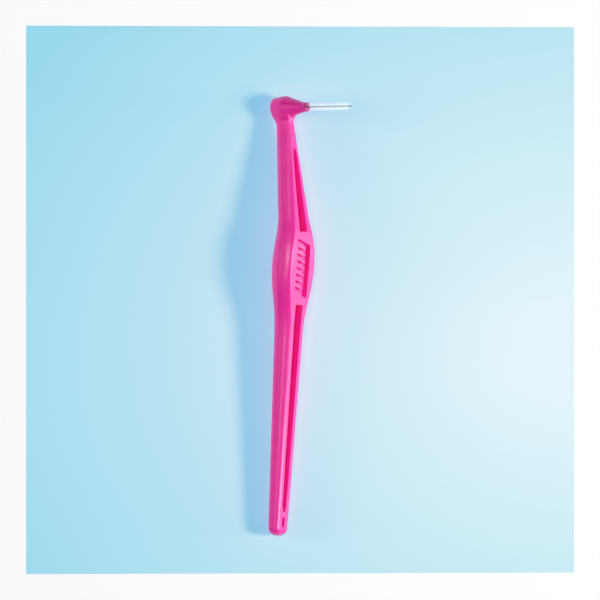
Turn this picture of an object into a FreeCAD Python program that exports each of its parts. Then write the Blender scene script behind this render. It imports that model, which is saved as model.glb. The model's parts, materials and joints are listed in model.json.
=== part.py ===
import FreeCAD, Part
import math
import os
import Sketcher

# Interdental brush: a long moulded handle, a folded and twisted wire set in its head,
# and rows of filaments held in the twist.
# Every piece is drawn with x along the brush, y along the handle up to the head and z across it,
# and then laid on its side, as it rests on a table.

doc = FreeCAD.newDocument("InterdentalBrush")
sheet = doc.addObject("Spreadsheet::Sheet", "Sizes")

driving_sizes = [
    # Stretches of the handle, from the tail end up to the axis of the brush.
    ("tail_length", "62.8"),
    ("swell_length", "23.0"),
    ("ease_length", "12.8"),
    ("neck_length", "36.0"),
    # Five cross sections: flat width, thickness, place of the front face and bulge of the rounded edges.
    ("tail_width", "3.8"),
    ("tail_thick", "4.15"),
    ("tail_front", "-2.25"),
    ("tail_crown", "1.7"),
    ("waist_width", "5.9"),
    ("waist_thick", "6.75"),
    ("waist_front", "3.47"),
    ("waist_crown", "2.2"),
    ("grip_width", "11.65"),
    ("grip_thick", "8.0"),
    ("grip_front", "6.14"),
    ("grip_crown", "1.95"),
    ("shoulder_width", "6.95"),
    ("shoulder_thick", "6.92"),
    ("shoulder_front", "5.62"),
    ("shoulder_crown", "2.2"),
    ("neck_width", "1.26"),
    ("neck_thick", "5.24"),
    ("neck_front", "0.73"),
    ("neck_crown", "0.8"),
    ("ridge_radius", "0.4"),
    ("tail_end_length", "2.4"),
    # Head and nozzle, turned about the axis of the brush.
    ("head_back", "5.2"),
    ("head_back_radius", "3.2"),
    ("head_radius", "3.75"),
    ("head_edge_radius", "0.7"),
    ("head_crest_radius", "2.5"),
    ("barrel_length", "4.5"),
    ("cone_length", "7.2"),
    ("cone_radius", "100.0"),
    ("nozzle_radius", "1.5"),
    ("nozzle_length", "1.4"),
    ("nozzle_edge_radius", "0.2"),
    # Recesses in both flat faces.
    ("groove_depth", "2.8"),
    ("groove_corner", "0.5"),
    ("lower_groove_start", "73.8"),
    ("lower_groove_length", "67.4"),
    ("lower_groove_wide", "3.8"),
    ("lower_groove_narrow", "2.0"),
    ("upper_groove_start", "97.2"),
    ("upper_groove_length", "27.9"),
    ("upper_groove_wide", "4.0"),
    ("upper_groove_narrow", "1.9"),
    ("groove_point", "3.0"),
    ("slot_start", "2.7"),
    ("slot_length", "3.1"),
    ("slot_width", "1.3"),
    ("panel_depth", "1.5"),
    ("panel_start", "77.0"),
    ("panel_length", "17.0"),
    ("panel_width", "6.5"),
    ("panel_slant", "2.2"),
    ("panel_corner", "0.4"),
    ("rib_width", "0.9"),
    ("rib_length", "4.0"),
    ("rib_corner", "0.3"),
    # Wire and filaments.
    ("wire_radius", "0.1"),
    ("wire_set", "8.0"),
    ("wire_tip", "0.55"),
    ("bore_clearance", "0.015"),
    ("filament_radius", "0.035"),
    ("filament_length", "2.6"),
    ("filament_spacing", "0.079"),
    ("filament_clearance", "0.01"),
    ("bristle_gap", "1.055"),
    # Rest on the table, in degrees.
    ("rest_roll", "42.63"),
    ("rest_pitch", "-0.21"),
    # How far each cutting tool runs past what it cuts.
    ("overrun", "1.0"),
]

row_count = 20
filaments_per_row = 10
quarters_per_turn = 4
rib_count = 7

for row, (alias, text) in enumerate(driving_sizes, start=1):
    sheet.set(f"A{row}", alias)
    sheet.set(f"B{row}", text)
    sheet.setAlias(f"B{row}", alias)
doc.recompute()


def size(alias):
    return float(sheet.get(alias))


def origin_plane(body, role):
    for feature in body.Origin.OriginFeatures:
        if feature.Role == role:
            return feature
    raise ValueError(role)


def add_sketch(body, name, role):
    sketch = body.newObject("Sketcher::SketchObject", name)
    sketch.AttachmentSupport = [(origin_plane(body, role), "")]
    sketch.MapMode = "FlatFace"
    return sketch


def bind(sketch, kind, place, name, amount):
    index = sketch.addConstraint(Sketcher.Constraint(kind, *place, amount.value))
    sketch.renameConstraint(index, name)
    sketch.setExpression(f"Constraints.{name}", amount.text)


class Amount:
    # A number together with the expression that gives it from the sheet.
    def __init__(self, value, text):
        self.value = value
        self.text = text


zero = Amount(0, "0")


def named(alias):
    return Amount(size(alias), f"Sizes.{alias}")


def scaled(amount, share):
    return Amount(amount.value * share, f"({amount.text} * {share})")


def plus(first, second):
    return Amount(first.value + second.value, f"({first.text} + {second.text})")


def minus(first, second):
    return Amount(first.value - second.value, f"({first.text} - {second.text})")


def arc(centre_x, centre_y, radius, first, last):
    circle = Part.Circle(FreeCAD.Vector(centre_x, centre_y, 0), FreeCAD.Vector(0, 0, 1), radius)
    return Part.ArcOfCircle(circle, first, last)


def line(first_x, first_y, last_x, last_y):
    return Part.LineSegment(FreeCAD.Vector(first_x, first_y, 0), FreeCAD.Vector(last_x, last_y, 0))


# Bar of the handle: smooth faces through cross sections with two flat faces, two crowned edges
# and rounded ridges.

# Each row gives how far along the stretch the section lies, and how far its flat width,
# thickness and front face have gone from the first named section to the next.
# A share below zero goes a little past the first one. The neck flares where it runs into the head.
tail_shares = [(0, 0, 0, 0), (0.93, 0.93, 0.93, 0.93)]
swell_shares = [
    (0, 0, 0, 0),
    (0.2, 0.15, 0.09, 0.175),
    (0.4, 0.46, 0.27, 0.38),
    (0.6, 0.8, 0.6, 0.61),
    (0.8, 0.985, 0.89, 0.82),
]
ease_shares = [(0, 0, 0, 0), (0.333, 0.2, 0.14, -0.42), (0.667, 0.59, 0.56, -0.1)]
neck_shares = [
    (0, 0, 0, 0),
    (0.125, 0.125, 0.125, 0.125),
    (0.835, 0.835, 0.835, 0.835),
    (0.862, 0.848, 0.731, 0.862),
    (0.885, 0.808, 0.54, 0.873),
    (0.905, 0.677, 0.334, 0.86),
    (0.925, 0.521, 0.139, 0.823),
    (0.945, 0.506, 0.13, 0.833),
    (1, 1, 1, 1),
]
stretches = [
    ("tail", "waist", "tail_length", tail_shares),
    ("waist", "grip", "swell_length", swell_shares),
    ("grip", "shoulder", "ease_length", ease_shares),
    ("shoulder", "neck", "neck_length", neck_shares),
]
cap_steps = 6
cap_last_turn = math.radians(74)


def between(first, last, share):
    return size(first) + (size(last) - size(first)) * share


stations = []
reached = size("tail_end_length")
for first, last, length, rows in stretches:
    for along_share, width_share, thick_share, front_share in rows:
        stations.append({
            "place": reached + size(length) * along_share,
            "width": between(f"{first}_width", f"{last}_width", width_share),
            "thick": between(f"{first}_thick", f"{last}_thick", thick_share),
            "front": between(f"{first}_front", f"{last}_front", front_share),
            "crown": between(f"{first}_crown", f"{last}_crown", along_share),
        })
    reached += size(length)


def arc_poles(place, centre_x, centre_z, radius, first, last):
    half = (last - first) / 2
    poles = []
    for turn, reach in ((first, 1), (first + half, 1 / math.cos(half)), (last, 1)):
        across = centre_x + radius * reach * math.cos(turn)
        poles.append((FreeCAD.Vector(across, place, centre_z + radius * reach * math.sin(turn)), 1 / reach))
    return poles


def line_poles(place, first_x, first_z, last_x, last_z):
    return [(FreeCAD.Vector(first_x, place, first_z), 1), (FreeCAD.Vector(last_x, place, last_z), 1)]


def bar_section(station, place):
    thick = station["thick"]
    crown = station["crown"]
    ridge = size("ridge_radius")
    radius = thick ** 2 / (8 * crown) + crown / 2
    reach = station["width"] / 2 + crown - radius
    middle = station["front"] - thick / 2
    half = thick / 2
    side = half - ridge
    corner = reach + math.sqrt((radius - ridge) ** 2 - side ** 2)
    lean = math.atan2(corner - reach, side)
    low = middle - side
    high = middle + side
    return [
        line_poles(place, middle + half, -corner, middle + half, corner),
        arc_poles(place, high, corner, ridge, 0, lean),
        arc_poles(place, middle, reach, radius, lean, math.pi - lean),
        arc_poles(place, low, corner, ridge, math.pi - lean, math.pi),
        line_poles(place, middle - half, corner, middle - half, -corner),
        arc_poles(place, low, -corner, ridge, math.pi, math.pi + lean),
        arc_poles(place, middle, -reach, radius, math.pi + lean, 2 * math.pi - lean),
        arc_poles(place, high, -corner, ridge, 2 * math.pi - lean, 2 * math.pi),
    ]


def smooth_poles(knots, values):
    # Poles of a smooth curve that passes through the values at the knots.
    last = len(knots) - 1
    poles = [values[0]]
    for index in range(last):
        step = knots[index + 1] - knots[index]
        for end, sign in ((index, 1), (index + 1, -1)):
            before = max(end - 1, 0)
            after = min(end + 1, last)
            slope = (values[after] - values[before]) * (1 / (knots[after] - knots[before]))
            poles.append(values[end] + slope * (sign * step / 3))
    return poles + [values[last]]


def skin(knots, sections):
    # One smooth face for each edge of the sections, from the first section to the last.
    faces = []
    for strip in zip(*sections):
        poles = []
        weights = []
        for column in zip(*strip):
            weight_row = smooth_poles(knots, [weight for pole, weight in column])
            pole_row = smooth_poles(knots, [pole * weight for pole, weight in column])
            poles.append([pole * (1 / weight) for pole, weight in zip(pole_row, weight_row)])
            weights.append(weight_row)
        degree = len(poles) - 1
        mults = [4] + [2] * (len(knots) - 2) + [4]
        surface = Part.BSplineSurface()
        surface.buildFromPolesMultsKnots(
            poles, [degree + 1] * 2, mults, [0, 1], knots, False, False, degree, 3, weights
        )
        faces.append(surface.toShape())
    return faces


def end_face(section):
    edges = []
    for poles in section:
        curve = Part.BezierCurve()
        curve.setPoles([pole for pole, weight in poles])
        for index, (pole, weight) in enumerate(poles, start=1):
            curve.setWeight(index, weight)
        edges.append(curve.toShape())
    return Part.Face(Part.Wire(edges))


def closed_solid(faces):
    shell = Part.Shell(faces)
    shell.sewShape()
    solid = Part.Solid(shell)
    if solid.Volume < 0:
        solid.reverse()
    return solid


def shrunk(station, share):
    # The same section, smaller about its own middle.
    smaller = {name: station[name] * share for name in ("width", "thick", "crown")}
    smaller["front"] = station["front"] - station["thick"] * (1 - share) / 2
    return smaller


bar_sections = [bar_section(station, station["place"]) for station in stations]
cap_turns = [cap_last_turn * step / cap_steps for step in range(cap_steps + 1)]
cap_sections = []
for turn in cap_turns:
    place = size("tail_end_length") * (1 - math.sin(turn) / math.sin(cap_last_turn))
    cap_sections.append(bar_section(shrunk(stations[0], math.cos(turn)), place))
places = [station["place"] for station in stations]
bar_faces = skin(places, bar_sections) + skin(cap_turns, cap_sections)
bar = doc.addObject("Part::Feature", "HandleBar")
bar.Shape = closed_solid(bar_faces + [end_face(bar_sections[-1]), end_face(cap_sections[-1])])

brush_axis = named("tail_end_length")
for first, last, length, rows in stretches:
    brush_axis = plus(brush_axis, named(length))

# Head and nozzle: turned about the axis of the brush.


def point(along, across):
    return FreeCAD.Vector(along.value, across.value, 0)


def turn_of(direction):
    return math.atan2(direction.y, direction.x)


def add_head():
    body = doc.addObject("PartDesign::Body", "HandleHead")
    back = minus(zero, named("head_back"))
    crest = plus(back, named("barrel_length"))
    land = plus(crest, named("cone_length"))
    mouth = plus(land, named("nozzle_length"))
    edge_radius = size("head_edge_radius")
    crest_radius = size("head_crest_radius")
    cone_radius = size("cone_radius")
    tip_radius = size("nozzle_edge_radius")
    back_corner = point(back, named("head_back_radius"))
    crest_corner = point(crest, named("head_radius"))
    land_corner = point(land, named("nozzle_radius"))
    mouth_corner = point(mouth, named("nozzle_radius"))

    slope = crest_corner.sub(back_corner).normalize()
    inward = FreeCAD.Vector(slope.y, -slope.x, 0)
    edge_centre = back_corner + inward * edge_radius
    edge_centre += slope * ((back.value + edge_radius - edge_centre.x) / slope.x)
    chord = land_corner.sub(crest_corner)
    across = FreeCAD.Vector(-chord.y, chord.x, 0).normalize()
    rise = math.sqrt(cone_radius ** 2 - (chord.Length / 2) ** 2)
    cone_centre = (crest_corner + land_corner) * 0.5 + across * rise
    offset = crest_corner + inward * crest_radius - cone_centre
    along = offset.dot(slope)
    apart = math.sqrt(along ** 2 - offset.dot(offset) + (cone_radius + crest_radius) ** 2)
    crest_centre = cone_centre + offset - slope * (along + apart)
    tip_centre = mouth_corner - FreeCAD.Vector(tip_radius, tip_radius, 0)

    edge_start = edge_centre - inward * edge_radius
    crest_start = crest_centre - inward * crest_radius
    outward_turn = turn_of(inward) + math.pi
    cone_turn = turn_of(cone_centre - crest_centre)
    sketch = add_sketch(body, "HeadProfile", "XY_Plane")
    sketch.setExpression("AttachmentOffset.Base.y", brush_axis.text)
    sketch.addGeometry(line(back.value, 0, back.value, edge_centre.y))
    sketch.addGeometry(arc(edge_centre.x, edge_centre.y, edge_radius, outward_turn, math.pi))
    sketch.addGeometry(line(edge_start.x, edge_start.y, crest_start.x, crest_start.y))
    sketch.addGeometry(arc(crest_centre.x, crest_centre.y, crest_radius, cone_turn, outward_turn))
    land_turn = turn_of(land_corner - cone_centre)
    sketch.addGeometry(arc(cone_centre.x, cone_centre.y, cone_radius, cone_turn - math.pi, land_turn))
    sketch.addGeometry(line(land_corner.x, land_corner.y, tip_centre.x, land_corner.y))
    sketch.addGeometry(arc(tip_centre.x, tip_centre.y, tip_radius, 0, math.pi / 2))
    sketch.addGeometry(line(mouth.value, tip_centre.y, mouth.value, 0))
    sketch.addGeometry(line(mouth.value, 0, back.value, 0))
    sketch.addGeometry(Part.Point(back_corner), True)
    sketch.addGeometry(Part.Point(crest_corner), True)
    for joint in ((0, 2, 1, 2), (1, 1, 2, 1), (2, 2, 3, 2), (3, 1, 4, 1), (5, 2, 6, 2), (6, 1, 7, 1)):
        sketch.addConstraint(Sketcher.Constraint("Tangent", *joint))
    for joint in ((4, 2, 5, 1), (7, 2, 8, 1), (8, 2, 0, 1)):
        sketch.addConstraint(Sketcher.Constraint("Coincident", *joint))
    for edge in (0, 7):
        sketch.addConstraint(Sketcher.Constraint("Vertical", edge))
    for edge in (5, 8):
        sketch.addConstraint(Sketcher.Constraint("Horizontal", edge))
    for joint in ((0, 1, -1), (9, 1, 2), (10, 1, 2), (10, 1, 4)):
        sketch.addConstraint(Sketcher.Constraint("PointOnObject", *joint))
    bind(sketch, "DistanceX", (-1, 1, 0, 1), "back", back)
    bind(sketch, "DistanceX", (-1, 1, 9, 1), "back_corner", back)
    bind(sketch, "DistanceY", (-1, 1, 9, 1), "back_radius", named("head_back_radius"))
    bind(sketch, "DistanceX", (-1, 1, 10, 1), "crest", crest)
    bind(sketch, "DistanceY", (-1, 1, 10, 1), "head_radius", named("head_radius"))
    bind(sketch, "DistanceX", (-1, 1, 5, 1), "land", land)
    bind(sketch, "DistanceY", (-1, 1, 5, 1), "land_radius", named("nozzle_radius"))
    bind(sketch, "DistanceX", (-1, 1, 7, 1), "mouth", mouth)
    bind(sketch, "Radius", (1,), "edge_radius", named("head_edge_radius"))
    bind(sketch, "Radius", (3,), "crest_radius", named("head_crest_radius"))
    bind(sketch, "Radius", (4,), "cone_radius", named("cone_radius"))
    bind(sketch, "Radius", (6,), "tip_radius", named("nozzle_edge_radius"))
    head = body.newObject("PartDesign::Revolution", "Head")
    head.Profile = (sketch, [""])
    head.ReferenceAxis = (sketch, ["H_Axis"])
    head.Angle = 360
    doc.recompute()
    return body, mouth


head, mouth = add_head()
blank = doc.addObject("Part::Fuse", "HandleBlank")
blank.Base = bar
blank.Tool = head

# Recesses in the flat faces: prisms through the handle, each less a core that is thinner than the handle
# on both faces, so that the floors follow the faces. The depth is full at the grip and less where
# the handle is thinner.


def slab_section(station, depth):
    place = station["place"]
    sunk = depth * station["thick"] / size("grip_thick")
    floor = station["front"] - sunk
    far_floor = station["front"] - station["thick"] + sunk
    half = size("grip_width")
    return [
        line_poles(place, floor, -half, floor, half),
        line_poles(place, floor, half, far_floor, half),
        line_poles(place, far_floor, half, far_floor, -half),
        line_poles(place, far_floor, -half, floor, -half),
    ]


def add_core(name, depth):
    slabs = [slab_section(station, size(depth)) for station in stations]
    core = doc.addObject("Part::Feature", name)
    core.Shape = closed_solid(skin(places, slabs) + [end_face(slabs[0]), end_face(slabs[-1])])
    return core


def add_prism(name, points, corner):
    body = doc.addObject("PartDesign::Body", name)
    sketch = add_sketch(body, f"{name}Outline", "YZ_Plane")
    edges = len(points)
    for edge in range(edges):
        first = points[edge]
        last = points[(edge + 1) % edges]
        sketch.addGeometry(line(first[0].value, first[1].value, last[0].value, last[1].value))
    for edge in range(edges):
        sketch.addConstraint(Sketcher.Constraint("Coincident", edge, 2, (edge + 1) % edges, 1))
    for edge, (along, across) in enumerate(points):
        bind(sketch, "DistanceX", (-1, 1, edge, 1), f"along{edge}", along)
        bind(sketch, "DistanceY", (-1, 1, edge, 1), f"across{edge}", across)
    pad = body.newObject("PartDesign::Pad", f"{name}Pad")
    pad.Profile = (sketch, [""])
    pad.SideType = "Symmetric"
    pad.setExpression("Length", prism_height.text)
    doc.recompute()
    names = []
    for index, edge in enumerate(pad.Shape.Edges, start=1):
        if edge.BoundBox.XLength > size("grip_thick"):
            names.append(f"Edge{index}")
    rounding = body.newObject("PartDesign::Fillet", f"{name}Corners")
    rounding.Base = (pad, names)
    rounding.setExpression("Radius", f"Sizes.{corner}")
    doc.recompute()
    return body


def groove_points(start, length, wide, narrow, point):
    shoulder = minus(plus(start, length), point)
    tip = plus(start, length)
    half_wide = scaled(wide, 0.5)
    half_narrow = scaled(narrow, 0.5)
    return [
        (start, half_wide),
        (start, minus(zero, half_wide)),
        (shoulder, minus(zero, half_narrow)),
        (tip, zero),
        (shoulder, half_narrow),
    ]


prism_height = scaled(plus(named("grip_thick"), named("grip_front")), 2)
lower_outline = groove_points(
    named("lower_groove_start"),
    minus(zero, named("lower_groove_length")),
    named("lower_groove_wide"),
    named("lower_groove_narrow"),
    minus(zero, named("groove_point")),
)
upper_outline = groove_points(
    named("upper_groove_start"),
    named("upper_groove_length"),
    named("upper_groove_wide"),
    named("upper_groove_narrow"),
    named("groove_point"),
)
slot_half = scaled(named("slot_width"), 0.5)
slot_end = plus(named("slot_start"), named("slot_length"))
slot_outline = [
    (named("slot_start"), slot_half),
    (named("slot_start"), minus(zero, slot_half)),
    (slot_end, minus(zero, slot_half)),
    (slot_end, slot_half),
]


def slanted_box(start, length, low, high):
    # A box across the handle whose ends slant as the grip panel does.
    slope = Amount(size("panel_slant") / size("panel_width"), "(Sizes.panel_slant / Sizes.panel_width)")
    corners = []
    end = plus(start, length)
    for along, across in ((start, high), (start, low), (end, low), (end, high)):
        shift = Amount(across.value * slope.value, f"({across.text} * {slope.text})")
        corners.append((plus(along, shift), across))
    return corners


panel_half = scaled(named("panel_width"), 0.5)
panel_outline = slanted_box(named("panel_start"), named("panel_length"), minus(zero, panel_half), panel_half)
rib_pitch = scaled(named("panel_length"), 1 / (rib_count + 1))
rib_outer = plus(panel_half, named("overrun"))
rib_inner = minus(panel_half, named("rib_length"))

lower_groove = add_prism("LowerGroove", lower_outline, "groove_corner")
upper_groove = add_prism("UpperGroove", upper_outline, "groove_corner")
tail_slot = add_prism("TailSlot", slot_outline, "groove_corner")
panel = add_prism("GripPanel", panel_outline, "panel_corner")
ribs = []
for step in range(1, rib_count + 1):
    rib_middle = plus(named("panel_start"), scaled(rib_pitch, step))
    rib_start = minus(rib_middle, scaled(named("rib_width"), 0.5))
    rib_outline = slanted_box(rib_start, named("rib_width"), rib_inner, rib_outer)
    ribs.append(add_prism(f"GripRib{step}", rib_outline, "rib_corner"))


def group(name, links):
    compound = doc.addObject("Part::Compound", name)
    compound.Links = links
    return compound


def cut(name, base, tool):
    result = doc.addObject("Part::Cut", name)
    result.Base = base
    result.Tool = tool
    doc.recompute()
    return result


grooves = group("Grooves", [lower_groove, upper_groove, tail_slot])
ribbed_panel = cut("RibbedPanel", panel, group("Ribs", ribs))
recesses = [
    cut("GrooveRecesses", grooves, add_core("GrooveCore", "groove_depth")),
    cut("PanelRecesses", ribbed_panel, add_core("PanelCore", "panel_depth")),
]

# Bore in the nozzle, a close fit round the twisted wire.

leg_offset = plus(plus(named("wire_radius"), named("filament_radius")), named("filament_clearance"))
twist_radius = plus(leg_offset, named("wire_radius"))
bore = doc.addObject("Part::Cylinder", "WireBore")
bore.setExpression("Radius", plus(twist_radius, named("bore_clearance")).text)
bore.setExpression("Height", plus(plus(named("wire_set"), named("bore_clearance")), named("overrun")).text)
bore.Placement.Rotation = FreeCAD.Rotation(FreeCAD.Vector(0, 1, 0), 90)
bore.setExpression("Placement.Base.x", minus(minus(mouth, named("wire_set")), named("bore_clearance")).text)
bore.setExpression("Placement.Base.y", brush_axis.text)
handle = cut("handle", blank, group("HandleTools", recesses + [bore]))

# Wire: one length folded at the tip, its two legs twisted about each other.

filament_count = row_count * filaments_per_row
turn_length = 2 * filaments_per_row * size("filament_spacing")
first_filament = mouth.value + size("bristle_gap")
last_filament = first_filament + (filament_count - 1) * size("filament_spacing")
root = mouth.value - size("wire_set")
quarter_length = turn_length / quarters_per_turn
quarter_count = math.ceil((last_filament + size("filament_radius") - root) / quarter_length)
axis_y = brush_axis.value


def leg_point(along, turn):
    offset = leg_offset.value
    return FreeCAD.Vector(along, axis_y + offset * math.cos(turn), offset * math.sin(turn))


def twist_at(along):
    return 2 * math.pi * (along - root) / turn_length


def twist_tangent(turn):
    sweep = 2 * math.pi * leg_offset.value / turn_length
    return FreeCAD.Vector(1, -sweep * math.sin(turn), sweep * math.cos(turn)).normalize()


def arc_by_apex(first, apex, last):
    middle = (first + last) * 0.5
    half_chord = first.sub(last).Length / 2
    half_turn = math.acos(half_chord / first.sub(apex).Length)
    top = middle + (apex - middle) * (math.tan(half_turn / 2) / math.tan(half_turn))
    return Part.Arc(first, top, last).toShape()


def two_arcs(first, first_tangent, last, last_tangent):
    # Two arcs that leave and arrive along the tangents and meet smoothly between.
    span = last.sub(first)
    both = first_tangent + last_tangent
    bend = 2 * (1 - first_tangent.dot(last_tangent))
    reach = (math.sqrt(span.dot(both) ** 2 + bend * span.dot(span)) - span.dot(both)) / bend
    first_apex = first + first_tangent * reach
    last_apex = last - last_tangent * reach
    meeting = (first_apex + last_apex) * 0.5
    return [arc_by_apex(first, first_apex, meeting), arc_by_apex(meeting, last_apex, last)]


def leg_edges(start_turn):
    edges = []
    for quarter in range(quarter_count):
        places = [root + quarter_length * step for step in (quarter, quarter + 1)]
        turns = [twist_at(place) + start_turn for place in places]
        points = [leg_point(place, turn) for place, turn in zip(places, turns)]
        edges += two_arcs(points[0], twist_tangent(turns[0]), points[1], twist_tangent(turns[1]))
    twist_end = root + quarter_length * quarter_count
    fold = twist_end + size("wire_tip") - leg_offset.value
    end_turn = twist_at(twist_end) + start_turn
    fold_turn = (twist_at(twist_end) + twist_at(fold)) / 2 + start_turn
    straight = FreeCAD.Vector(1, 0, 0)
    edges += two_arcs(
        leg_point(twist_end, end_turn), twist_tangent(end_turn), leg_point(fold, fold_turn), straight
    )
    return edges, fold, fold_turn


first_leg, fold, fold_turn = leg_edges(0)
second_leg, fold, far_turn = leg_edges(math.pi)
fold_top = FreeCAD.Vector(fold + leg_offset.value, axis_y, 0)
fold_arc = Part.Arc(leg_point(fold, fold_turn), fold_top, leg_point(fold, far_turn)).toShape()
wire_path = Part.Wire(first_leg + [fold_arc] + second_leg[::-1])
wire_end = Part.Circle(leg_point(root, 0), twist_tangent(0), size("wire_radius")).toShape()
twisted_wire = doc.addObject("Part::Feature", "twisted_wire")
twisted_wire.Shape = wire_path.makePipeShell([Part.Wire([wire_end])], True, False)
wire_section = math.pi * size("wire_radius") ** 2
print("wire: length", wire_path.Length, "volume", twisted_wire.Shape.Volume, wire_section * wire_path.Length)

# Filaments: straight, square to the wire, each between the two legs.

bristle_rows = []
for row in range(row_count):
    filaments = []
    for step in range(filaments_per_row):
        along = first_filament + (row * filaments_per_row + step) * size("filament_spacing")
        turn = twist_at(along) + math.pi / 2
        direction = FreeCAD.Vector(0, math.cos(turn), math.sin(turn))
        filament = doc.addObject("Part::Cylinder", "Filament")
        filament.setExpression("Radius", "Sizes.filament_radius")
        filament.setExpression("Height", "Sizes.filament_length")
        centre = FreeCAD.Vector(along, axis_y, 0)
        turned = FreeCAD.Rotation(FreeCAD.Vector(0, 0, 1), direction)
        filament.Placement = FreeCAD.Placement(centre - direction * (size("filament_length") / 2), turned)
        filaments.append(filament)
    bristle_rows.append(group(f"bristle_row_{row + 1:02d}", filaments))
doc.recompute()

# Rest on the table: rolled on its side, with the origin under the middle of the whole brush.

pieces = [handle, twisted_wire] + bristle_rows
pitched = FreeCAD.Rotation(FreeCAD.Vector(1, 0, 0), size("rest_pitch"))
rolled = FreeCAD.Rotation(FreeCAD.Vector(0, 1, 0), -size("rest_roll"))
lying = FreeCAD.Placement(FreeCAD.Vector(0, 0, 0), pitched * rolled)
whole = Part.makeCompound([piece.Shape for piece in pieces])
whole.Placement = lying
box = whole.optimalBoundingBox(False, False)
ground = FreeCAD.Vector(-(box.XMin + box.XMax) / 2, -(box.YMin + box.YMax) / 2, -box.ZMin)
for piece in pieces:
    piece.Placement = FreeCAD.Placement(ground, pitched * rolled)
doc.recompute()

for feature in doc.Objects:
    if "Invalid" in feature.State or "Error" in feature.State:
        raise RuntimeError(f"{feature.Label} failed: {feature.State}")
os.makedirs("parts", exist_ok=True)
for piece in pieces:
    if piece.Shape.isNull() or not piece.Shape.isValid():
        raise RuntimeError(f"{piece.Label} has no valid shape")
    piece.Shape.exportStep(f"parts/{piece.Label}.step")
    print(piece.Label, len(piece.Shape.Solids), piece.Shape.Volume)
joint = FreeCAD.Placement(ground, pitched * rolled).multVec(FreeCAD.Vector(mouth.value, axis_y, 0))
print("mouth", joint, "brush axis", (pitched * rolled).multVec(FreeCAD.Vector(1, 0, 0)))
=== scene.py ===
import json
import math
import random

import bpy
from mathutils import Matrix, Vector


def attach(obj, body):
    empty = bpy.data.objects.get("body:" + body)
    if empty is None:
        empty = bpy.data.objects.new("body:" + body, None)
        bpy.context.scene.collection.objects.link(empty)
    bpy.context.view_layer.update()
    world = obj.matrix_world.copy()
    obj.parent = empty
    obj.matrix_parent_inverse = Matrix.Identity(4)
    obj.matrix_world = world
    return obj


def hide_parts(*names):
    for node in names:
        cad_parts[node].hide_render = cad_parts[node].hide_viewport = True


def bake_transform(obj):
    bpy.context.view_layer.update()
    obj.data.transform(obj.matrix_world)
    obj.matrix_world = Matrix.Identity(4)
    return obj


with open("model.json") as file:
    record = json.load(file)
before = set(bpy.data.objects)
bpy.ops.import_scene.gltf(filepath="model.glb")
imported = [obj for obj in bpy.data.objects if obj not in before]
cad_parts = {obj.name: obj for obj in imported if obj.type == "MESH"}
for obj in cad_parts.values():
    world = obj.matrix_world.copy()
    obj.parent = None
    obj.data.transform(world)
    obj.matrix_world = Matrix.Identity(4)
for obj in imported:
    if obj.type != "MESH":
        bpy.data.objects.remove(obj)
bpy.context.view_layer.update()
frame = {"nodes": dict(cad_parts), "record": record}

mm = 0.001
print("frame loaded")

# the brush's own directions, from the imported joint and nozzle
flexJoint = frame["record"]["behaviour"]["joints"][0]
nozzleLand = frame["record"]["mounts"][0]
mouth = Vector(flexJoint["pos_m"])
outward = Vector(nozzleLand["axis"]).normalized()
across = Vector(flexJoint["axis"]).normalized()
along = across.cross(outward)


def brushPoint(out, up, side):
    return mouth + outward * out + along * up + across * side


def newFinish(name):
    finish = bpy.data.materials.new(name)
    finish.use_nodes = True
    nodes = finish.node_tree.nodes
    return finish, nodes, finish.node_tree.links, nodes["Principled BSDF"]


def addNoise(nodes, links, place, scale, detail):
    noise = nodes.new("ShaderNodeTexNoise")
    noise.inputs["Scale"].default_value = scale
    noise.inputs["Detail"].default_value = detail
    links.new(place, noise.inputs["Vector"])
    return noise.outputs["Fac"]


def addRange(nodes, links, value, low, high):
    ranged = nodes.new("ShaderNodeMapRange")
    ranged.inputs["From Min"].default_value = 0.3
    ranged.inputs["From Max"].default_value = 0.7
    ranged.inputs["To Min"].default_value = low
    ranged.inputs["To Max"].default_value = high
    links.new(value, ranged.inputs["Value"])
    return ranged.outputs["Result"]


def addTones(nodes, links, value, first, second):
    tones = nodes.new("ShaderNodeValToRGB")
    tones.color_ramp.elements[0].position = 0.3
    tones.color_ramp.elements[0].color = (*first, 1)
    tones.color_ramp.elements[1].position = 0.7
    tones.color_ramp.elements[1].color = (*second, 1)
    links.new(value, tones.inputs["Fac"])
    return tones.outputs["Color"]


def addBump(nodes, links, value, strength, depth, bsdf):
    bump = nodes.new("ShaderNodeBump")
    bump.inputs["Strength"].default_value = strength
    bump.inputs["Distance"].default_value = depth
    links.new(value, bump.inputs["Height"])
    links.new(bump.outputs["Normal"], bsdf.inputs["Normal"])


def newMesh(name, points, faces, finish):
    mesh = bpy.data.meshes.new(name)
    mesh.from_pydata(points, [], faces)
    mesh.polygons.foreach_set("use_smooth", [True] * len(mesh.polygons))
    mesh.materials.append(finish)
    piece = bpy.data.objects.new(name, mesh)
    bpy.context.scene.collection.objects.link(piece)
    return piece


# a round tube through the path's points, its frame carried along without twist
def tubeMesh(path, radii, sides, points, faces):
    first = len(points)
    heading = (path[1] - path[0]).normalized()
    side = heading.orthogonal().normalized()
    for step, centre in enumerate(path):
        before = path[max(step - 1, 0)]
        after = path[min(step + 1, len(path) - 1)]
        nextHeading = (after - before).normalized()
        side.rotate(heading.rotation_difference(nextHeading))
        heading = nextHeading
        other = heading.cross(side)
        for spoke in range(sides):
            turn = 2 * math.pi * spoke / sides
            points.append(centre + (side * math.cos(turn) + other * math.sin(turn)) * radii[step])
    for step in range(len(path) - 1):
        low = first + step * sides
        for spoke in range(sides):
            near = (spoke + 1) % sides
            faces.append((low + spoke, low + near, low + sides + near, low + sides + spoke))
    faces.append(tuple(first + spoke for spoke in reversed(range(sides))))
    last = first + (len(path) - 1) * sides
    faces.append(tuple(last + spoke for spoke in range(sides)))


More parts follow.
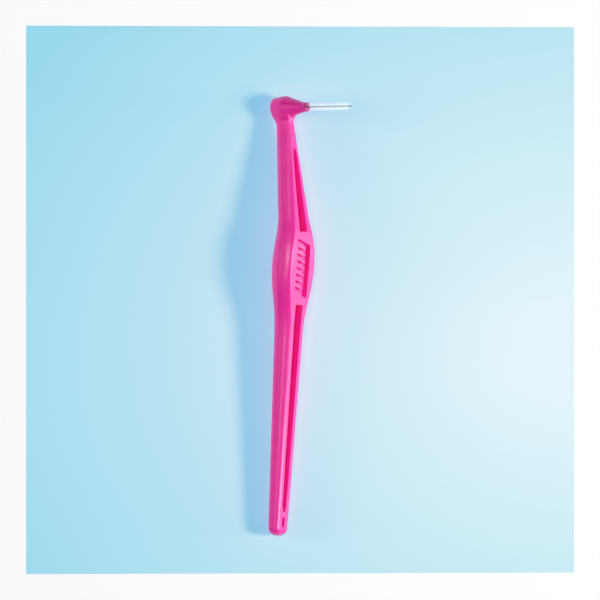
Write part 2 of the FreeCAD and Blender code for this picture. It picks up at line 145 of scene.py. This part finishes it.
# handle: satin pink polypropylene, faintly cloudy, with a fine moulded skin
handleLook = {
    "pink": (0.91, 0.020, 0.39),
    "palePink": (0.94, 0.026, 0.42),
    # painted shade round the mouth of the nozzle
    "mouthShadePink": (0.56, 0.010, 0.25),
    "mouthShadeReach": (1.48 * mm, 1.7 * mm),
    "cloudScale": 120,
    "skinScale": 2600,
    "skinDepth": 0.02 * mm,
    "skinStrength": 0.12,
    "ior": 1.49,
    "roughness": (0.31, 0.38),
    "sheen": 0.9,
    "glow": 0.65,
    "glowDepth": 5.0 * mm,
    "glowSpread": (1.0, 0.2, 0.6),
}


def handlePlastic():
    look = handleLook
    finish, nodes, links, bsdf = newFinish("handlePlastic")
    place = nodes.new("ShaderNodeTexCoord").outputs["Object"]
    cloud = addNoise(nodes, links, place, look["cloudScale"], 3)
    skin = addNoise(nodes, links, place, look["skinScale"], 2)
    tones = addTones(nodes, links, cloud, look["pink"], look["palePink"])
    # painted shade: a darker ring round the mouth of the nozzle
    reach = nodes.new("ShaderNodeVectorMath")
    reach.operation = "DISTANCE"
    reach.inputs[1].default_value = mouth
    links.new(place, reach.inputs[0])
    mouthShade = nodes.new("ShaderNodeMapRange")
    mouthShade.inputs["From Min"].default_value, mouthShade.inputs["From Max"].default_value = look["mouthShadeReach"]
    mouthShade.inputs["To Min"].default_value = 1
    mouthShade.inputs["To Max"].default_value = 0
    links.new(reach.outputs["Value"], mouthShade.inputs["Value"])
    mouthShaded = nodes.new("ShaderNodeMixRGB")
    mouthShaded.inputs["Color2"].default_value = (*look["mouthShadePink"], 1)
    links.new(mouthShade.outputs["Result"], mouthShaded.inputs["Fac"])
    links.new(tones, mouthShaded.inputs["Color1"])
    links.new(mouthShaded.outputs["Color"], bsdf.inputs["Base Color"])
    links.new(addRange(nodes, links, skin, *look["roughness"]), bsdf.inputs["Roughness"])
    addBump(nodes, links, skin, look["skinStrength"], look["skinDepth"], bsdf)
    bsdf.inputs["IOR"].default_value = look["ior"]
    bsdf.inputs["Specular IOR Level"].default_value = look["sheen"]
    bsdf.inputs["Subsurface Weight"].default_value = look["glow"]
    bsdf.inputs["Subsurface Radius"].default_value = look["glowSpread"]
    bsdf.inputs["Subsurface Scale"].default_value = look["glowDepth"]
    return finish


handle = frame["nodes"]["handle"]
handle.data.materials.clear()
handle.data.materials.append(handlePlastic())
print("handle finished")

# wire: two strands twisted about each other and folded at the tip
wireSizes = {
    "radius": 0.1 * mm,
    "offset": 0.145 * mm,
    "turn": 1.58 * mm,
    "root": -8.0 * mm,
    "twistEnd": 16.885 * mm,
    "fold": 17.29 * mm,
    "stepsPerTurn": 28,
    "sides": 12,
    "bendStart": -0.3 * mm,
    "bendEnd": 0.95 * mm,
    "grey": (0.018, 0.010, 0.032),
    "paleGrey": (0.045, 0.032, 0.072),
    "roughness": (0.40, 0.55),
    "metallic": 0.6,
    "drawScale": 9000,
    "drawStrength": 0.15,
    "drawDepth": 0.004 * mm,
    "foldShares": (0.25, 0.5, 0.75, 1.0),
    "bowSteps": 12,
}


def twistAt(out):
    return 2 * math.pi * (out - wireSizes["root"]) / wireSizes["turn"]


def legPoint(out, turn):
    return brushPoint(out, wireSizes["offset"] * math.cos(turn), wireSizes["offset"] * math.sin(turn))


def wireSteel():
    sizes = wireSizes
    finish, nodes, links, bsdf = newFinish("wireSteel")
    place = nodes.new("ShaderNodeTexCoord").outputs["Object"]
    draw = addNoise(nodes, links, place, sizes["drawScale"], 3)
    tones = addTones(nodes, links, draw, sizes["grey"], sizes["paleGrey"])
    links.new(tones, bsdf.inputs["Base Color"])
    links.new(addRange(nodes, links, draw, *sizes["roughness"]), bsdf.inputs["Roughness"])
    addBump(nodes, links, draw, sizes["drawStrength"], sizes["drawDepth"], bsdf)
    bsdf.inputs["Metallic"].default_value = sizes["metallic"]
    return finish


def wireLeg(startTurn):
    sizes = wireSizes
    steps = math.ceil((sizes["twistEnd"] - sizes["root"]) / sizes["turn"] * sizes["stepsPerTurn"])
    leg = []
    for step in range(steps + 1):
        out = sizes["root"] + (sizes["twistEnd"] - sizes["root"]) * step / steps
        leg.append(legPoint(out, twistAt(out) + startTurn))
    endTurn = twistAt(sizes["twistEnd"]) + startTurn
    foldTurn = (twistAt(sizes["twistEnd"]) + twistAt(sizes["fold"])) / 2 + startTurn
    for share in sizes["foldShares"]:
        out = sizes["twistEnd"] + (sizes["fold"] - sizes["twistEnd"]) * share
        eased = share * (2 - share)
        leg.append(legPoint(out, endTurn + (foldTurn - endTurn) * eased))
    return leg, foldTurn


def makeWire():
    sizes = wireSizes
    firstLeg, foldTurn = wireLeg(0)
    secondLeg = wireLeg(math.pi)[0]
    bow = []
    for step in range(1, sizes["bowSteps"]):
        angle = math.pi * step / sizes["bowSteps"]
        reach = sizes["offset"] * math.cos(angle)
        bow.append(brushPoint(sizes["fold"] + sizes["offset"] * math.sin(angle),
                              reach * math.cos(foldTurn), reach * math.sin(foldTurn)))
    path = firstLeg + bow + secondLeg[::-1]
    points, faces = [], []
    tubeMesh(path, [sizes["radius"]] * len(path), sizes["sides"], points, faces)
    wire = newMesh("wireStrands", points, faces, wireSteel())
    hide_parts("twisted_wire")
    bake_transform(wire)


makeWire()
print("wire made")

# bristles: fine filaments held between the strands, one piece for each half turn
bristleSizes = {
    "rows": 20,
    "perRow": 15,
    "pitch": 0.79 * mm,
    "start": 1.055 * mm,
    "reach": 1.3 * mm,
    "radius": 0.019 * mm,
    "sides": 6,
    "unevenness": 0.05 * mm,
    "lean": 0.11 * mm,
    "white": (0.90, 0.94, 1.0),
    "brightWhite": (0.95, 0.97, 1.0),
    # painted glow of the filaments
    "paintedGlow": 0.3,
    "cover": 0.65,
    "ior": 1.53,
    "roughness": (0.35, 0.5),
    "strandScale": 7000,
    "pathShares": (-1, -0.985, -0.7, -0.4, 0, 0.4, 0.7, 0.985, 1),
    "tipShare": 0.6,
    "seed": 12,
}


def bristleNylon():
    sizes = bristleSizes
    finish, nodes, links, bsdf = newFinish("bristleNylon")
    place = nodes.new("ShaderNodeTexCoord").outputs["Object"]
    strand = addNoise(nodes, links, place, sizes["strandScale"], 2)
    tone = addTones(nodes, links, strand, sizes["white"], sizes["brightWhite"])
    links.new(tone, bsdf.inputs["Base Color"])
    links.new(addRange(nodes, links, strand, *sizes["roughness"]), bsdf.inputs["Roughness"])
    bsdf.inputs["IOR"].default_value = sizes["ior"]
    # painted glow: the filaments give off a little light in their own white, so they look brighter than the
    # lamps alone make them
    links.new(tone, bsdf.inputs["Emission Color"])
    bsdf.inputs["Emission Strength"].default_value = sizes["paintedGlow"]
    bsdf.inputs["Alpha"].default_value = sizes["cover"]
    return finish


# a filament leaves the strands straight and drifts a little towards its two tips
def filamentPath(out, chance):
    sizes = bristleSizes
    turn = twistAt(out) + math.pi / 2
    lean = sizes["lean"]
    path = []
    drift = [(chance.uniform(-1, 1) * lean, chance.uniform(-1, 1) * lean) for end in (0, 1)]
    reach = [sizes["reach"] - sizes["unevenness"] * chance.random() for end in (0, 1)]
    for share in sizes["pathShares"]:
        end = int(share > 0)
        spread = share * share
        radial = reach[end] * share
        swing = drift[end][1] * spread
        path.append(brushPoint(out + drift[end][0] * spread,
                               radial * math.cos(turn) - swing * math.sin(turn),
                               radial * math.sin(turn) + swing * math.cos(turn)))
    return path


def makeBristles():
    sizes = bristleSizes
    chance = random.Random(sizes["seed"])
    finish = bristleNylon()
    middle = [sizes["radius"]] * (len(sizes["pathShares"]) - 2)
    tip = sizes["radius"] * sizes["tipShare"]
    radii = [tip, *middle, tip]
    for row in range(sizes["rows"]):
        points, faces = [], []
        for step in range(sizes["perRow"]):
            out = sizes["start"] + sizes["pitch"] * (row + step / sizes["perRow"])
            tubeMesh(filamentPath(out, chance), radii, sizes["sides"], points, faces)
        tuft = newMesh(f"bristleRow{row + 1:02d}", points, faces, finish)
        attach(tuft, "brush")
        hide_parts(f"bristle_row_{row + 1:02d}")


makeBristles()
print("bristles made")

# pale blue card on a white table, with a painted pool of light: brightest at a spot towards the lamp, darker
# away from it
tableLook = {
    "size": 3.0,
    "cardHalf": (88.2 * mm, 87.75 * mm),
    "cardCentre": (-1.78 * mm, 5.1 * mm),
    "paintedLightSpot": (80 * mm, -11 * mm),
    "fallOff": (20 * mm, 213 * mm),
    "nearBlue": (0.885, 1.0, 1.0),
    "farBlue": (0.395, 0.780, 0.900),
    "shaded": (1.0, 0.58, 0.27),
    "unshaded": (0.0, 0.42, 0.73),
    "upStretch": 1.35,
    "white": (0.7, 0.7, 0.7),
    "whiteGlow": (0.4, 0.4, 0.4),
}


def tableFinish():
    look = tableLook
    finish, nodes, links, bsdf = newFinish("tableCard")
    nodes.remove(bsdf)
    place = nodes.new("ShaderNodeTexCoord").outputs["Object"]
    parts = nodes.new("ShaderNodeSeparateXYZ")
    links.new(place, parts.inputs["Vector"])

    def calc(operation, first, second=0, third=0):
        node = nodes.new("ShaderNodeMath")
        node.operation = operation
        for socket, value in zip(node.inputs, (first, second, third)):
            if isinstance(value, (int, float)):
                socket.default_value = value
            else:
                links.new(value, socket)
        return node.outputs["Value"]

    def tint(first, second):
        node = nodes.new("ShaderNodeMix")
        node.data_type = "RGBA"
        node.blend_type = "MULTIPLY"
        node.inputs["Factor"].default_value = 1
        links.new(first, node.inputs[6])
        node.inputs[7].default_value = (*second, 1)
        return node.outputs[2]

    def shader(kind, colour):
        node = nodes.new(kind)
        if isinstance(colour, tuple):
            node.inputs["Color"].default_value = (*colour, 1)
        else:
            links.new(colour, node.inputs["Color"])
        return node.outputs[0]

    def join(kind, first, second, factor=None):
        node = nodes.new(kind)
        if factor:
            links.new(factor, node.inputs[0])
        links.new(first, node.inputs[-2])
        links.new(second, node.inputs[-1])
        return node.outputs["Shader"]

    withinX = calc("COMPARE", parts.outputs["X"], look["cardCentre"][0], look["cardHalf"][0])
    withinY = calc("COMPARE", parts.outputs["Y"], look["cardCentre"][1], look["cardHalf"][1])
    onCard = calc("MULTIPLY", withinX, withinY)
    # distance from the painted light spot; the card's blue fades from nearBlue to farBlue with it
    acrossCard = calc("SUBTRACT", parts.outputs["X"], look["paintedLightSpot"][0])
    upCard = calc("MULTIPLY", calc("SUBTRACT", parts.outputs["Y"], look["paintedLightSpot"][1]), look["upStretch"])
    squares = calc("ADD", calc("MULTIPLY", acrossCard, acrossCard), calc("MULTIPLY", upCard, upCard))
    away = calc("SQRT", squares)
    share = nodes.new("ShaderNodeMapRange")
    share.inputs["From Min"].default_value, share.inputs["From Max"].default_value = look["fallOff"]
    links.new(away, share.inputs["Value"])
    blue = nodes.new("ShaderNodeMix")
    blue.data_type = "RGBA"
    links.new(share.outputs["Result"], blue.inputs["Factor"])
    blue.inputs[6].default_value = (*look["nearBlue"], 1)
    blue.inputs[7].default_value = (*look["farBlue"], 1)

    lightPath = nodes.new("ShaderNodeLightPath").outputs
    mirrored = calc("MAXIMUM", lightPath["Is Glossy Ray"], lightPath["Is Transmission Ray"])
    seen = calc("MAXIMUM", lightPath["Is Camera Ray"], mirrored)
    # the card's unshaded share glows for camera rays: painted light that keeps the shade on the card bluish
    litCard = shader("ShaderNodeBsdfDiffuse", tint(blue.outputs[2], look["shaded"]))
    glowCard = shader("ShaderNodeEmission", tint(blue.outputs[2], look["unshaded"]))
    card = join("ShaderNodeAddShader", litCard, glowCard)
    litWhite = shader("ShaderNodeBsdfDiffuse", look["white"])
    glowWhite = shader("ShaderNodeEmission", look["whiteGlow"])
    white = join("ShaderNodeAddShader", litWhite, glowWhite)
    shown = join("ShaderNodeMixShader", white, card, onCard)
    surface = join("ShaderNodeMixShader", shader("ShaderNodeBsdfDiffuse", look["nearBlue"]), shown, seen)
    links.new(surface, nodes["Material Output"].inputs["Surface"])
    return finish


def makeTable():
    half = tableLook["size"] / 2
    corners = [Vector((x, y, 0)) for x, y in ((-half, -half), (half, -half), (half, half), (-half, half))]
    newMesh("table", corners, [(0, 1, 2, 3)], tableFinish())


makeTable()
print("table laid")

# camera: almost straight down, leaning a little to the side away from the brush
cameraPlan = {
    "lean": 4.63,
    "distance": 2.4,
    "frameWidth": 0.192,
    "downHandle": 61.6 * mm,
    "backFromMouth": 7.9 * mm,
    "aside": 3.73 * mm,
    "sensor": 36,
}
lean = math.radians(cameraPlan["lean"])
cameraRight = Vector((math.cos(lean), 0, math.sin(lean)))
cameraUp = Vector((0, 1, 0))
cameraBack = cameraRight.cross(cameraUp)
target = brushPoint(-cameraPlan["backFromMouth"], -cameraPlan["downHandle"], 0)
target += cameraRight * cameraPlan["aside"]


def addCamera():
    lens = bpy.data.cameras.new("camera")
    lens.sensor_width = cameraPlan["sensor"]
    lens.lens = cameraPlan["sensor"] * cameraPlan["distance"] / cameraPlan["frameWidth"]
    holder = bpy.data.objects.new("camera", lens)
    turned = Matrix((cameraRight, cameraUp, cameraBack)).transposed().to_4x4()
    holder.matrix_world = Matrix.Translation(target + cameraBack * cameraPlan["distance"]) @ turned
    bpy.context.scene.collection.objects.link(holder)
    bpy.context.scene.camera = holder


addCamera()
bpy.context.scene.view_settings.view_transform = "Standard"
print("camera set")

# two lamps from the right, one above, two weaker ones from the left and an even sky
lightPlan = {
    "right": {"from": (0.80, -0.06, 0.58), "distance": 1.5, "width": 0.34, "power": 15.6, "sheen": True},
    "lowRight": {"from": (0.99, -0.03, 0.10), "distance": 1.4, "width": 0.26, "power": 5.2, "sheen": True},
    "above": {"from": (-0.20, 0.08, 0.97), "distance": 1.2, "width": 0.44, "power": 3.4, "sheen": True},
    "left": {"from": (-0.84, 0.1, 0.53), "distance": 1.2, "width": 0.8, "power": 1.3, "sheen": True},
    "lowLeft": {"from": (-0.97, 0.05, 0.22), "distance": 1.2, "width": 0.5, "power": 5.0, "sheen": False},
}
skyStrength = 0.05
skyTone = (0.95, 0.98, 1.0)


def addLamp(name, plan):
    lamp = bpy.data.lights.new(name, "AREA")
    lamp.shape = "DISK"
    lamp.size = plan["width"]
    lamp.energy = plan["power"]
    holder = bpy.data.objects.new(name, lamp)
    heading = Vector(plan["from"]).normalized()
    holder.location = target + heading * plan["distance"]
    holder.rotation_euler = heading.to_track_quat("Z", "Y").to_euler()
    holder.visible_glossy = plan["sheen"]
    bpy.context.scene.collection.objects.link(holder)


for name, plan in lightPlan.items():
    addLamp(name, plan)
sky = bpy.data.worlds.new("sky")
sky.use_nodes = True
background = sky.node_tree.nodes["Background"]
background.inputs["Color"].default_value = (*skyTone, 1)
background.inputs["Strength"].default_value = skyStrength
bpy.context.scene.world = sky
print("lights set")
